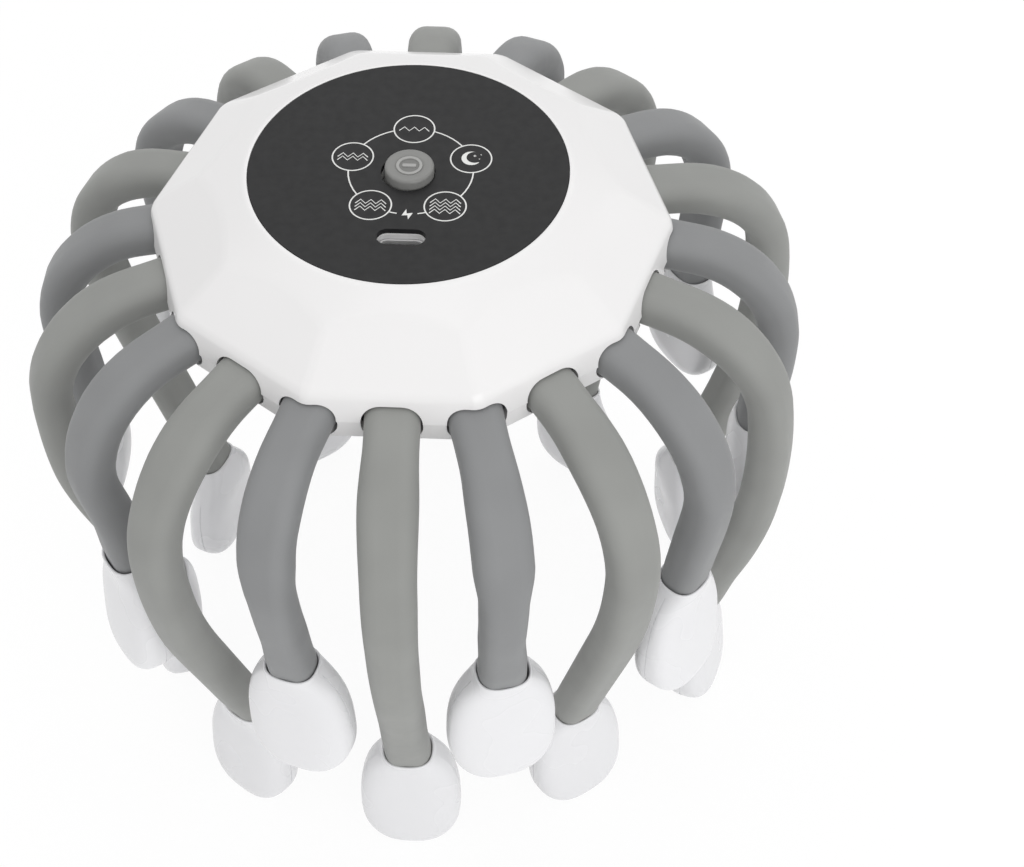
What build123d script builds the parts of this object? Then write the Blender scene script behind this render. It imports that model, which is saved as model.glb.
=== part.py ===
"""Electric scalp massager: a ten-sided hub that carries twenty soft arms with a vibrating pad on each.

The hub axis is Z and the pads of the long arms stand on Z = 0. While the pieces are made, Z = 0 is the top
face of the control panel, and heights in the hub are drops below it. A long arm leaves from the middle of
each facet of the hub and a short arm from each corner.
"""
from build123d import *
from math import cos, hypot, radians, sin
import os

os.makedirs("parts", exist_ok=True)

# ---- hub housing ----
hub_sides = 10
panel_radius = 32.0
panel_thickness = 1.2
panel_border = 1.0            # flat rim of the upper shell round the panel
panel_gap = 0.1
shell_wall = 2.0
crown_round = 29.0            # at the top the decagon is rounded until it is nearly a circle
shoulder_radius = 43.6        # facet radius and drop half way down the cap
shoulder_drop = 4.6
shoulder_round = 24.0
rim_radius = 50.6             # where the cap turns down into its side wall
rim_drop = 11.6
corner_round = 7.0
parting_radius = 51.6
parting_drop = 17.8
parting_step = 0.25            # the bowl is set back this far under the cap
skirt_radius = 50.9           # lower edge of the side wall
skirt_drop = 22.6
foot_radius = 44.5            # flat underside
hub_height = 27.0

# ---- arms ----
arm_width = 10.9
arm_thickness = 8.2
arm_edge_round = 3.5
hinge_radius = 50.8           # a long arm flexes here, in the wall of a facet
corner_hinge_radius = 52.3    # a short arm flexes here, in the wall of a corner
hinge_drop = 18.4
root_depth = 4.0              # length of an arm on the inner side of its hinge point
root_run = 6.3                # straight length from the hinge point to the shoulder bend
notch_gap = 0.5
notch_reach = 8.0
core_width = 5.0
core_thickness = 0.8
core_gap = 0.05
grip_depth = 4.5              # length of an arm inside the collar of its pad

# slope of the root, shoulder radius, sweep radius and inward lean of the last straight run (mm, degrees)
long_slope, long_shoulder, long_sweep, long_lean = 10.0, 27.0, 120.0, 18.0
short_slope, short_shoulder, short_sweep, short_lean = 12.0, 24.5, 120.0, 8.0
long_neck_drop = 117.7         # where the collar of a long arm's pad begins
short_arm_length = 65.7       # along the middle of the arm, from the hinge point to the collar

# The set that each silicone arm has taken, in degrees, counterclockwise from the corner on +X:
# curl closes its shoulder bend a little more, and sway swings it sideways about its root.
arm_curl = [1.5, -9.5, 1, 4, 1, 3, 2, 4.5, 3, 8, 5.5, -0.5, 7, -0.5, 5.5, 2, 3.5, 4, 5, -8.5]
arm_sway = [-1.5, 3, 0, 0, 0, 0, 0, -1, 0, -1.5, 0.5, -2, 2.5, -0.5, 2.5, 0, -1.5, 1, -3, 2]

# ---- pads ----
pad_width = 23.0
pad_height = 27.2
pad_corner = 10.0
pad_wall = 1.6
outer_depth = 7.2             # from the parting plane to the outer face, at its lower edge
outer_tilt = 7.0              # the outer face leans back towards the collar
outer_draft = 12.0
outer_edge_round = 2.2
inner_depth = 5.6
inner_draft = 20.0
inner_edge_round = 3.0
collar_wall = 1.2
collar_gap = 0.3
collar_height = 5.0           # from the rim of the collar to the top of the disc
motor_radius = 5.0
motor_thickness = 3.4
motor_gap = 0.1

# ---- power button and its switch ----
button_radius = 4.95
button_rise = 2.0
button_gap = 0.5
button_edge_round = 0.7
flange_width = 1.7
flange_thickness = 0.8
flange_gap = 0.15
button_offset = 1.0            # from the hub axis to the button, towards the front
symbol_radius = 2.45
symbol_line = 0.55
symbol_bar_length = 2.7
symbol_bar_width = 0.75
symbol_height = 0.25
button_travel = 0.5
switch_width = 6.0
switch_height = 3.4
plunger_radius = 1.7
plunger_gap = 0.1
plunger_depth = 0.9           # length of the plunger inside the switch
plunger_well = plunger_depth + button_travel + plunger_gap

# ---- board, charging socket and battery ----
board_radius = 27.0
board_thickness = 1.6
socket_width = 8.94
socket_depth = 3.26
socket_height = 6.6
socket_wall = 0.3
socket_reach = 1.2            # the mouth of the socket lies this far below the panel
socket_offset = 19.3          # from the hub axis to the socket, towards the front
socket_gap = 0.22
tongue_width = 6.7
tongue_thickness = 0.7
tongue_height = 4.5
tongue_base = 1.4
slot_width = 9.6
slot_depth = 4.2
led_ring_radius = 12.5
led_size = 1.6
led_height = 0.7
led_count = 5
chip_size = 6.0
chip_height = 1.1
chip_ring_radius = 14.0
board_boss_radius = 2.6
board_boss_ring = 23.0
board_boss_count = 4
board_screw_radius = 0.9
board_screw_length = 5.5
board_head_radius = 1.9
board_head_height = 1.2
battery_length = 35.0
battery_width = 22.0
battery_height = 6.0
battery_round = 1.5
foam_thickness = 0.6
wire_radius = 0.6
wire_spacing = 4.0

# ---- ring behind the arm roots, and housing screws ----
ring_inner = 38.0
ring_room = 1.9               # room for the arm roots to move when the arms flex
ring_drop = 14.6
ring_height = 7.0
ring_round = 6.0
screw_count = 5
screw_ring = 41.3
screw_radius = 1.1
screw_bite = 5.0              # length of a housing screw inside the boss of the upper shell
screw_head_radius = 2.1
screw_head_height = 1.6
head_recess = 2.4
screw_gap = 0.05
hole_gap = 0.3
boss_radius = 3.0
post_radius = 3.7

arm_count = 2 * hub_sides
step = 360 / arm_count
corner_factor = 1 / cos(radians(180 / hub_sides))
roof_drop = panel_thickness + shell_wall
board_drop = panel_thickness + socket_reach + socket_height
TOP = (Align.CENTER, Align.CENTER, Align.MAX)


def disc(radius, height, drop, x=0, y=0):
    """Cylinder whose top face lies at a drop below the panel."""
    return Pos(x, y, -drop) * Cylinder(radius, height, align=TOP)


def block(length, width, height, drop, x=0, y=0):
    return Pos(x, y, -drop) * Box(length, width, height, align=TOP)


def bar(profile, height, drop, y=0):
    """Upright bar of a flat profile, top face at a drop below the panel."""
    return Pos(0, y, -drop) * extrude(profile, amount=-height)


def ringed(shape, count, first=0.0):
    """Copies of a shape at equal angles round the hub axis."""
    return [Rot(0, 0, first + i * 360 / count) * shape for i in range(count)]


# ---- hub ----
cap_stations = [
    (panel_radius + panel_border, crown_round, 0),
    (shoulder_radius, shoulder_round, shoulder_drop),
    (rim_radius, corner_round, rim_drop),
    (parting_radius, corner_round, parting_drop),
]
bowl_stations = [
    (parting_radius - parting_step, corner_round, parting_drop),
    (skirt_radius, corner_round, skirt_drop),
    (foot_radius, corner_round, hub_height),
]


def hub_outline(facet_radius, rounding, drop=0.0):
    """Ten-sided outline with rounded corners, at a drop below the panel."""
    outline = RegularPolygon(facet_radius * corner_factor, hub_sides)
    return Pos(0, 0, -drop) * fillet(outline.vertices(), rounding)


def stacked(stations, ruled=False):
    return loft([hub_outline(*station) for station in stations], ruled=ruled)


def moved_in(stations, wall):
    """The same stations moved inwards by a wall, square to the profile."""
    inner = []
    for i, (radius, rounding, drop) in enumerate(stations):
        before = stations[max(i - 1, 0)]
        after = stations[min(i + 1, len(stations) - 1)]
        run, fall = after[0] - before[0], after[2] - before[2]
        length = hypot(run, fall)
        inner.append((radius - wall * fall / length, max(rounding - wall, 1), drop + wall * run / length))
    return inner


def cap_cavity():
    """Inside of the upper shell: flat roof under the panel, open at the parting plane."""
    inner = moved_in(cap_stations, shell_wall)
    first, second = inner[0], inner[1]
    part = (roof_drop - first[2]) / (second[2] - first[2])
    roof = (first[0] + part * (second[0] - first[0]), crown_round, roof_drop)
    wall_foot = (parting_radius - shell_wall, inner[-1][1], parting_drop)
    return stacked([roof, second, inner[2], wall_foot])


def bowl_cavity():
    inner = moved_in(bowl_stations, shell_wall)
    mouth = (parting_radius - shell_wall, inner[0][1], parting_drop)
    knee = (skirt_radius - shell_wall, inner[1][1], skirt_drop - shell_wall / 2)
    floor = (foot_radius - shell_wall / 2, inner[2][1], hub_height - shell_wall)
    return stacked([mouth, knee, floor], ruled=True)


def button_hole():
    return disc(button_radius + button_gap, roof_drop, 0, y=-button_offset)


def make_upper_shell():
    outer = stacked(cap_stations)
    shell = outer - cap_cavity()
    boss = disc(boss_radius, ring_drop, 0, screw_ring)
    board_boss = disc(board_boss_radius, board_drop, 0, board_boss_ring)
    for post in ringed(boss, screw_count, step) + ringed(board_boss, board_boss_count, 45):
        shell += post & outer
    shell -= disc(panel_radius + panel_gap, panel_thickness, 0)
    shell -= button_hole()
    socket_slot = SlotOverall(socket_width + 2 * socket_gap, socket_depth + 2 * socket_gap)
    shell -= bar(socket_slot, roof_drop, 0, -socket_offset)
    pilot = disc(screw_radius + screw_gap, screw_bite + hole_gap, ring_drop - screw_bite - hole_gap, screw_ring)
    board_pilot_depth = board_screw_length - board_thickness + hole_gap
    board_pilot = disc(board_screw_radius + screw_gap, board_pilot_depth, board_drop - board_pilot_depth,
                       board_boss_ring)
    for hole in ringed(pilot, screw_count, step) + ringed(board_pilot, board_boss_count, 45):
        shell -= hole
    return cut_notches(shell)


def make_lower_shell():
    outer = stacked(bowl_stations, ruled=True)
    shell = outer - bowl_cavity()
    ring_bottom = ring_drop + ring_height
    post = disc(post_radius, hub_height - ring_bottom, ring_bottom, screw_ring)
    for upright in ringed(post, screw_count, step):
        shell += upright & outer
    hole = disc(screw_radius + hole_gap, hub_height - ring_bottom, ring_bottom, screw_ring)
    recess = disc(screw_head_radius + hole_gap, head_recess, hub_height - head_recess, screw_ring)
    for cut in ringed(hole + recess, screw_count, step):
        shell -= cut
    return cut_notches(shell)


def make_panel():
    panel = disc(panel_radius, panel_thickness, 0) - button_hole()
    return panel - bar(SlotOverall(slot_width, slot_depth), panel_thickness, 0, -socket_offset)


def make_arm_ring():
    """Ten-sided ring that backs the arm roots and spaces the two shells."""
    outline = hub_outline(hinge_radius - root_depth - ring_room, ring_round)
    ring = bar(outline, ring_height, ring_drop) - disc(ring_inner, ring_height, ring_drop)
    for hole in ringed(disc(screw_radius + hole_gap, ring_height, ring_drop, screw_ring), screw_count, step):
        ring -= hole
    return ring


def make_housing_screws():
    top = ring_drop - screw_bite
    seat = hub_height - head_recess
    screw = disc(screw_radius, seat - top, top, screw_ring)
    screw += disc(screw_head_radius, screw_head_height, seat, screw_ring)
    return Compound(children=ringed(screw, screw_count, step))


# ---- board and battery ----
def make_board():
    board = disc(board_radius, board_thickness, board_drop)
    hole = disc(board_screw_radius + hole_gap, board_thickness, board_drop, board_boss_ring)
    for cut in ringed(hole, board_boss_count, 45):
        board -= cut
    return board


def make_board_screws():
    top = board_drop + board_thickness - board_screw_length
    screw = disc(board_screw_radius, board_screw_length, top, board_boss_ring)
    screw += disc(board_head_radius, board_head_height, board_drop + board_thickness, board_boss_ring)
    return Compound(children=ringed(screw, board_boss_count, 45))


def make_switch():
    top = board_drop - switch_height
    body = block(switch_width, switch_width, switch_height, top)
    return Pos(0, -button_offset, 0) * (body - disc(plunger_radius + plunger_gap, plunger_well, top))


def make_plunger():
    top = roof_drop + flange_gap + flange_thickness
    return disc(plunger_radius, board_drop - switch_height - top + plunger_depth, top, y=-button_offset)


def make_button():
    """Soft cap with a raised standby symbol, held under the roof by its flange."""
    cap = disc(button_radius, button_rise + roof_drop + flange_gap, -button_rise)
    cap = fillet(cap.edges().group_by(Axis.Z)[-1], button_edge_round)
    cap += disc(button_radius + flange_width, flange_thickness, roof_drop + flange_gap)
    ring = Circle(symbol_radius) - Circle(symbol_radius - symbol_line)
    dash = Rectangle(symbol_bar_length, symbol_bar_width)
    for mark in (ring, dash):
        cap += bar(mark, symbol_height, -button_rise - symbol_height)
    return Pos(0, -button_offset, 0) * cap


def make_socket():
    outer = SlotOverall(socket_width, socket_depth)
    inner = SlotOverall(socket_width - 2 * socket_wall, socket_depth - 2 * socket_wall)
    return bar(outer - inner, socket_height, board_drop - socket_height, -socket_offset)


def make_tongue():
    fit = 2 * (socket_wall + core_gap)
    base = SlotOverall(socket_width - fit, socket_depth - fit)
    tongue = bar(base, tongue_base, board_drop - tongue_base, -socket_offset)
    height = tongue_base + tongue_height
    return tongue + block(tongue_width, tongue_thickness, height, board_drop - height, y=-socket_offset)


def make_leds():
    led = block(led_size, led_size, led_height, board_drop - led_height, y=led_ring_radius)
    return Compound(children=ringed(led, led_count))


def make_chips():
    chip = block(chip_size, chip_size, chip_height, board_drop + board_thickness, chip_ring_radius)
    return Compound(children=ringed(chip, 2, 90))


def battery_top():
    return hub_height - shell_wall - foam_thickness - battery_height


def make_battery():
    cell = block(battery_length, battery_width, battery_height, battery_top())
    return fillet(cell.edges().filter_by(Axis.X), battery_round)


def make_foam():
    return block(battery_length, battery_width, foam_thickness, battery_top() + battery_height)


def make_wires():
    board_underside = board_drop + board_thickness
    wire = disc(wire_radius, battery_top() - board_underside, board_underside, battery_length / 3)
    return Compound(children=[Pos(0, side * wire_spacing / 2, 0) * wire for side in (-1, 1)])


# ---- arms ----
def arm_values(is_long):
    if is_long:
        return long_slope, long_shoulder, long_sweep, long_lean
    return short_slope, short_shoulder, short_sweep, short_lean


def heading(slope):
    """Unit vector in the XZ plane that points outwards and down by a slope in degrees."""
    return Vector(cos(radians(slope)), 0, -sin(radians(slope)))


def hinge_point(is_long):
    return Vector(hinge_radius if is_long else corner_hinge_radius, 0, -hinge_drop)


def bend(point, slope, turn, radius):
    """Arc that starts at a point with a slope and turns downwards, or upwards for a negative turn."""
    side = 1 if turn > 0 else -1
    centre = point + heading(slope + 90) * radius * side
    spokes = [heading(slope + part * turn - 90) * radius * side for part in (0.5, 1)]
    return ThreePointArc(point, centre + spokes[0], centre + spokes[1])


def arm_lines(is_long, curl):
    """Root run, shoulder bend and inward sweep of an arm, in the XZ plane."""
    slope, shoulder, sweep_radius, lean = arm_values(is_long)
    hinge = hinge_point(is_long)
    lines = [Line(hinge - heading(slope) * root_depth, hinge + heading(slope) * root_run)]
    shoulder_end = 90 + curl
    lines.append(bend(lines[-1] @ 1, slope, shoulder_end - slope, shoulder))
    if abs(lean - curl) > 0.01:
        lines.append(bend(lines[-1] @ 1, shoulder_end, lean - curl, sweep_radius))
    return lines


def last_direction(is_long):
    return heading(90 + arm_values(is_long)[3])


def long_run(curl, neck_drop):
    """Last straight run of a long arm that ends at a drop below the panel."""
    start = arm_lines(True, curl)[-1] @ 1
    return (start.Z + neck_drop) / -last_direction(True).Z


def short_run(curl):
    """Last straight run of a short arm, which always has the same length in all."""
    return short_arm_length + root_depth - sum(line.length for line in arm_lines(False, curl))


def arm_path(is_long, curl, run):
    lines = arm_lines(is_long, curl)
    start = lines[-1] @ 1
    return lines + [Line(start, start + last_direction(is_long) * run)]


def arm_section(grow=0.0):
    outline = Rectangle(arm_thickness + 2 * grow, arm_width + 2 * grow)
    return fillet(outline.vertices(), arm_edge_round + grow)


def across(point, direction):
    """Plane square to a direction, with its X axis in the XZ plane."""
    return Plane(origin=point, x_dir=Vector(-direction.Z, 0, direction.X), z_dir=direction)


def make_arm(is_long, curl, run):
    """Silicone sleeve with the spring strip that it is moulded round."""
    path = Wire(arm_path(is_long, curl, run + grip_depth))
    start = across(path @ 0, path % 0)
    hole = Rectangle(core_thickness + 2 * core_gap, core_width + 2 * core_gap)
    sleeve = sweep(start * (arm_section() - hole), path)
    core = sweep(start * Rectangle(core_thickness, core_width), path)
    return [sleeve, core]


def swung(shape, sway):
    """Shape turned sideways about the root axis of its arm."""
    return Pos(0, 0, -hinge_drop) * Rot(sway, 0, 0) * Pos(0, 0, hinge_drop) * shape


def notch(index):
    """Straight cutter that clears the root of one arm through the side wall."""
    is_long = index % 2 == 1
    slope = arm_values(is_long)[0]
    start = hinge_point(is_long) - heading(slope) * notch_reach
    cutter = extrude(across(start, heading(slope)) * arm_section(notch_gap), amount=2 * notch_reach)
    return Rot(0, 0, index * step) * swung(cutter, arm_sway[index % len(arm_sway)])


def cut_notches(shell):
    for index in range(arm_count):
        shell -= notch(index)
    return shell


# ---- pads ----
def pad_outline():
    centre = Pos(0, -collar_height - pad_height / 2)
    return Plane.YZ * centre * RectangleRounded(pad_width, pad_height, pad_corner)


def outer_half():
    """Outer half of the disc: a tapered block whose face leans back towards the collar."""
    half = extrude(pad_outline(), amount=outer_depth + pad_wall, taper=outer_draft)
    edge = Vector(outer_depth, 0, -collar_height - pad_height)
    lean = Vector(cos(radians(outer_tilt)), 0, sin(radians(outer_tilt)))
    half = split(half, bisect_by=Plane(origin=edge, z_dir=lean), keep=Keep.BOTTOM)
    return fillet(half.faces().sort_by(Axis.X)[-1].edges(), outer_edge_round)


def inner_half():
    half = extrude(pad_outline(), amount=-inner_depth, taper=inner_draft)
    return fillet(half.faces().sort_by(Axis.X)[0].edges(), inner_edge_round)


def collar(is_long):
    grow = collar_gap + collar_wall
    length = collar_height + pad_height / 4
    return extrude(across(Vector(0, 0, 0), last_direction(is_long)) * arm_section(grow), amount=length)


def collar_bore(is_long):
    start = last_direction(is_long) * -collar_wall
    bore = across(start, last_direction(is_long)) * arm_section(collar_gap)
    return extrude(bore, amount=collar_wall + grip_depth + collar_gap)


def motor_pocket(depth, radius):
    centre = Vector(0, 0, -collar_height - pad_height / 2)
    return extrude(Plane(origin=centre, z_dir=(1, 0, 0)) * Circle(radius), amount=depth)


def make_pad(is_long):
    """Two half shells that meet on the plane X = 0, with a coin motor against the inner wall.

    The neck point, where the arm enters the collar, is the origin.
    """
    reach = 2 * pad_height
    halves = []
    for side, half in ((1, outer_half()), (-1, inner_half())):
        room = Pos(side * reach / 2, 0, 0) * Box(reach, reach, 2 * reach)
        halves.append(half + (collar(is_long) & room) - collar_bore(is_long))
    outer, inner = halves
    pocket = inner_depth - pad_wall
    inner -= motor_pocket(-pocket, motor_radius + motor_gap)
    outer -= motor_pocket(pocket, motor_radius + pad_wall)
    motor = Pos(-pocket, 0, 0) * motor_pocket(motor_thickness, motor_radius)
    return [outer, inner, motor]


long_pad = make_pad(True)
short_pad = make_pad(False)
pad_reach = -min(piece.bounding_box().min.Z for piece in long_pad)
stand_height = long_neck_drop + pad_reach


def settled_drop(sway):
    """Neck drop, before the arm is swung, that stands a swung long pad on the floor."""
    level = cos(radians(sway))
    lowest = min((Rot(sway, 0, 0) * piece).bounding_box().min.Z for piece in long_pad)
    return hinge_drop + (stand_height + lowest - hinge_drop) / level


def make_arm_and_pad(index):
    is_long = index % 2 == 1
    curl = arm_curl[index % len(arm_curl)]
    sway = arm_sway[index % len(arm_sway)]
    run = long_run(curl, settled_drop(sway)) if is_long else short_run(curl)
    neck = arm_path(is_long, curl, run)[-1] @ 1
    arm = make_arm(is_long, curl, run)
    pad = [Pos(neck) * piece for piece in (long_pad if is_long else short_pad)]
    turn = Rot(0, 0, index * step)
    return [[turn * swung(piece, sway) for piece in pieces] for pieces in (arm, pad)]


def save(name, shape):
    """Stand the piece on the floor and write it to its own file."""
    solids = shape.solids()
    moved = [Pos(0, 0, stand_height) * solid for solid in solids]
    export_step(moved[0] if len(moved) == 1 else Compound(children=moved), f"parts/{name}.step")


save("upper_shell", make_upper_shell())
save("lower_shell", make_lower_shell())
save("control_panel", make_panel())
save("arm_ring", make_arm_ring())
save("housing_screws", make_housing_screws())
save("circuit_board", make_board())
save("board_screws", make_board_screws())
save("board_chips", make_chips())
save("indicator_leds", make_leds())
save("tact_switch", make_switch())
save("switch_plunger", make_plunger())
save("power_button", make_button())
save("socket_shell", make_socket())
save("socket_tongue", make_tongue())
save("battery_cell", make_battery())
save("battery_foam", make_foam())
save("battery_wires", make_wires())
for number in range(arm_count):
    kind = "long" if number % 2 == 1 else "short"
    arm_pieces, pad_pieces = make_arm_and_pad(number)
    save(f"{kind}_arm_{number // 2 + 1}", Compound(children=arm_pieces))
    save(f"{kind}_pad_{number // 2 + 1}", Compound(children=pad_pieces))
print(f"panel top at {stand_height:.2f} mm, underside of the hub at {stand_height - hub_height:.2f} mm")
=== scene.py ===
# %% [markdown]
# # An electric scalp massager
# A ten-sided white hub carries twenty soft grey arms, and each arm ends in a white head pad with a small
# vibration motor inside. The hard parts come from the CAD model, which stays fixed as the frame of the scene.
# Blender adds what moulding and printing add: soft silicone skins, rounded pads, printed icons and finishes.

# %% Load the frame
import math

import bmesh
import bpy
from mathutils import Matrix, Vector


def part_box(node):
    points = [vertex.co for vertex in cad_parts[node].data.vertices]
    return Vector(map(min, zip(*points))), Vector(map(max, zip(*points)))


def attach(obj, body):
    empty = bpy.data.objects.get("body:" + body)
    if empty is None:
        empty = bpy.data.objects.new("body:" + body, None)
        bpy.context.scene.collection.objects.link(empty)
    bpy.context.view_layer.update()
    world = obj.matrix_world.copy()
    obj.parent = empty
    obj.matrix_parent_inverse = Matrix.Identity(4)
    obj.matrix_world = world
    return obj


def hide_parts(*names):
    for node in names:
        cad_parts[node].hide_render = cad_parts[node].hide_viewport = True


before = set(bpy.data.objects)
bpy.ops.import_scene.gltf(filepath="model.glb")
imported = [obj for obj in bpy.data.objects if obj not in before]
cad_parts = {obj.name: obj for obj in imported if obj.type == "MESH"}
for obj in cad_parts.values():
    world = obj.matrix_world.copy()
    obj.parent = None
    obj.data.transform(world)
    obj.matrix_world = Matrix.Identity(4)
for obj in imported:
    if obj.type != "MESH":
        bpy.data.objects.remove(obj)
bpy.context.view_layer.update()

mm = 0.001
panel_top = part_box("control_panel")[1][2]

# %% [markdown]
# ## A few helpers
# Blender's operators act on whatever is selected, so each edit starts by clearing the selection, opening one
# piece and picking faces or edges by where they are. The helpers below do just that, as a hand would with the
# mouse, and they set a finished piece at the origin with its place kept in its mesh.

# %% Helpers for selecting and editing


def clear_selection():
    if bpy.context.mode != "OBJECT":
        bpy.ops.object.mode_set(mode="OBJECT")
    bpy.ops.object.select_all(action="DESELECT")


def take(piece):
    """Makes one piece the only selected and active one."""
    clear_selection()
    piece.select_set(True)
    bpy.context.view_layer.objects.active = piece


def open_piece(piece, mode="FACE"):
    """Edit mode on one piece, with nothing picked yet."""
    take(piece)
    bpy.ops.object.mode_set(mode="EDIT")
    bpy.ops.mesh.select_mode(type=mode)
    bpy.ops.mesh.select_all(action="DESELECT")


def pick(piece, kind, test):
    """Picks the vertices, edges or faces of the open piece for which the test is true; gives their number."""
    bpy.ops.mesh.select_all(action="DESELECT")
    mesh = bmesh.from_edit_mesh(piece.data)
    picked = [item for item in getattr(mesh, kind) if test(item)]
    for item in picked:
        item.select_set(True)
    mesh.select_flush_mode()
    bmesh.update_edit_mesh(piece.data)
    return len(picked)


def close_piece():
    bpy.ops.object.mode_set(mode="OBJECT")


def added(name):
    """Names the piece that was just added and puts its place into its mesh."""
    piece = bpy.context.active_object
    piece.name = piece.data.name = name
    bpy.ops.object.transform_apply(location=True, rotation=True, scale=True)
    return piece


def use_modifier(piece, kind, **settings):
    """Adds a modifier with its settings and applies it."""
    take(piece)
    modifier = piece.modifiers.new(kind.title(), kind)
    for key, value in settings.items():
        setattr(modifier, key, value)
    bpy.ops.object.modifier_apply(modifier=modifier.name)


def smooth(piece, angle):
    """Shades the piece smooth, with crisp edges where it turns by more than an angle in degrees."""
    take(piece)
    bpy.ops.object.shade_smooth_by_angle(angle=math.radians(angle))


def copy_piece(piece, name):
    """A copy with a mesh of its own."""
    twin = piece.copy()
    twin.data = piece.data.copy()
    twin.name = twin.data.name = name
    bpy.context.scene.collection.objects.link(twin)
    return twin


def put(piece, matrix):
    """Moves the piece by a matrix and keeps the new place in its mesh."""
    piece.data.transform(matrix)
    piece.data.update()


# %% [markdown]
# ## Camera
# The massager is seen from the front and well above, as from a standing person's eye over a table. A long lens
# keeps the far arms nearly as large as the near ones.

# %% Camera
lens = 71.99
sensor_width = 36.0
eye_height = 0.276             # over the panel
line_of_sight = Vector((-0.0278, 0.6475, -0.7616))
camera_data = bpy.data.cameras.new("Camera")
camera_data.lens = lens
camera_data.sensor_width = sensor_width
camera_data.clip_start = 0.01
camera = bpy.data.objects.new("Camera", camera_data)
bpy.context.scene.collection.objects.link(camera)
camera.location = (0.0336, -0.3028, panel_top + eye_height)
camera.rotation_euler = line_of_sight.to_track_quat("-Z", "Y").to_euler()
bpy.context.scene.camera = camera
print("camera at", [round(value, 3) for value in camera.location])

# %% [markdown]
# ## Light and floor
# Moulded white plastic needs light from all round, or its edges go grey. A pale world gives the level. Wide
# lamps in front, behind, above and at the left model the facets and the arms, and the floor is white to the
# camera but still takes the soft shadow of the pads.

# %% Lamps
bpy.context.scene.view_settings.view_transform = "Standard"
lamp_distance = 1.1
lamp_aim = Vector((0, 0, 0.08))


def add_lamp(name, azimuth, elevation, width, watts):
    """Square area lamp that looks at the hub from a distance."""
    data = bpy.data.lights.new(name, "AREA")
    data.size = width
    data.energy = watts
    lamp = bpy.data.objects.new(name, data)
    bpy.context.scene.collection.objects.link(lamp)
    a, e = math.radians(azimuth), math.radians(elevation)
    away = Vector((math.sin(a) * math.cos(e), -math.cos(a) * math.cos(e), math.sin(e)))
    lamp.location = lamp_aim + lamp_distance * away
    lamp.rotation_euler = (lamp_aim - lamp.location).to_track_quat("-Z", "Y").to_euler()


add_lamp("Front_lamp", 30, 22, 0.8, 3.4)
add_lamp("Back_lamp", 180, 60, 0.8, 1.7)
add_lamp("Top_lamp", 0, 89, 0.5, 0.45)
add_lamp("Left_lamp", -90, 60, 0.8, 0.25)
print("lamps:", len(bpy.data.lights))

# %% World
world_strength = 0.7


def seen_directly(tree):
    """1 for what the camera sees, straight or in a reflection, and 0 for the light that falls on things."""
    rays = tree.nodes.new("ShaderNodeLightPath").outputs
    last = rays["Is Camera Ray"]
    for ray in ("Is Glossy Ray", "Is Transmission Ray"):
        node = tree.nodes.new("ShaderNodeMath")
        node.operation = "MAXIMUM"
        tree.links.new(last, node.inputs[0])
        tree.links.new(rays[ray], node.inputs[1])
        last = node.outputs[0]
    return last


world = bpy.data.worlds.new("Studio")
bpy.context.scene.world = world
world.use_nodes = True
tree = world.node_tree
tree.nodes.clear()
lit, seen, mix, out = (tree.nodes.new(kind) for kind in (
    "ShaderNodeBackground", "ShaderNodeBackground", "ShaderNodeMixShader", "ShaderNodeOutputWorld"))
lit.inputs["Strength"].default_value = world_strength
lit.inputs["Color"].default_value = seen.inputs["Color"].default_value = (1, 1, 1, 1)
seen.inputs["Strength"].default_value = 1.0
tree.links.new(seen_directly(tree), mix.inputs["Fac"])
tree.links.new(lit.outputs[0], mix.inputs[1])
tree.links.new(seen.outputs[0], mix.inputs[2])
tree.links.new(mix.outputs[0], out.inputs["Surface"])
print("the world lights at", world_strength, "and shows white")

# %% Floor
floor_size = 6.0
floor_glow = 1.02              # strength of the white that the camera sees
floor_share = 0.9              # how much of that white covers the lit floor
clear_selection()
bpy.ops.mesh.primitive_plane_add(size=floor_size)
floor = added("Floor")
paint = bpy.data.materials.new("Floor_white")
paint.use_nodes = True
tree = paint.node_tree
tree.nodes.clear()
matt, glow, part, mix, out = (tree.nodes.new(kind) for kind in (
    "ShaderNodeBsdfDiffuse", "ShaderNodeEmission", "ShaderNodeMath", "ShaderNodeMixShader",
    "ShaderNodeOutputMaterial"))
matt.inputs["Color"].default_value = (0.95, 0.95, 0.95, 1)
glow.inputs["Color"].default_value = (1, 1, 1, 1)
glow.inputs["Strength"].default_value = floor_glow
part.operation = "MULTIPLY"
part.inputs[1].default_value = floor_share
tree.links.new(seen_directly(tree), part.inputs[0])
tree.links.new(part.outputs[0], mix.inputs["Fac"])
tree.links.new(matt.outputs[0], mix.inputs[1])
tree.links.new(glow.outputs[0], mix.inputs[2])
tree.links.new(mix.outputs[0], out.inputs["Surface"])
floor.data.materials.append(paint)
print("floor of", floor_size, "m")

# %% [markdown]
# ## Plastics, silicone and print
# Real mouldings are never one flat colour. Each finish starts from the Principled shader, with its even values
# set on its own sockets, and gets a little unevenness in colour and gloss and a fine relief from noise in object
# space, so that the pattern stays the same size on every piece.

# %% Helpers for a finish


def linear(red, green, blue):
    """Screen colour from 0 to 255 as the linear colour that a shader needs."""
    values = [value / 255 for value in (red, green, blue)]
    return tuple(v / 12.92 if v < 0.04045 else ((v + 0.055) / 1.055) ** 2.4 for v in values) + (1,)


def new_finish(name, colour, roughness, **sockets):
    """Principled material; gives the material, its shader node and its object coordinates."""
    material = bpy.data.materials.new(name)
    material.use_nodes = True
    material.diffuse_color = colour
    shader = material.node_tree.nodes["Principled BSDF"]
    shader.inputs["Base Color"].default_value = colour
    shader.inputs["Roughness"].default_value = roughness
    for key, value in sockets.items():
        shader.inputs[key.replace("_", " ")].default_value = value
    place = material.node_tree.nodes.new("ShaderNodeTexCoord").outputs["Object"]
    return material, shader, place


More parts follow.
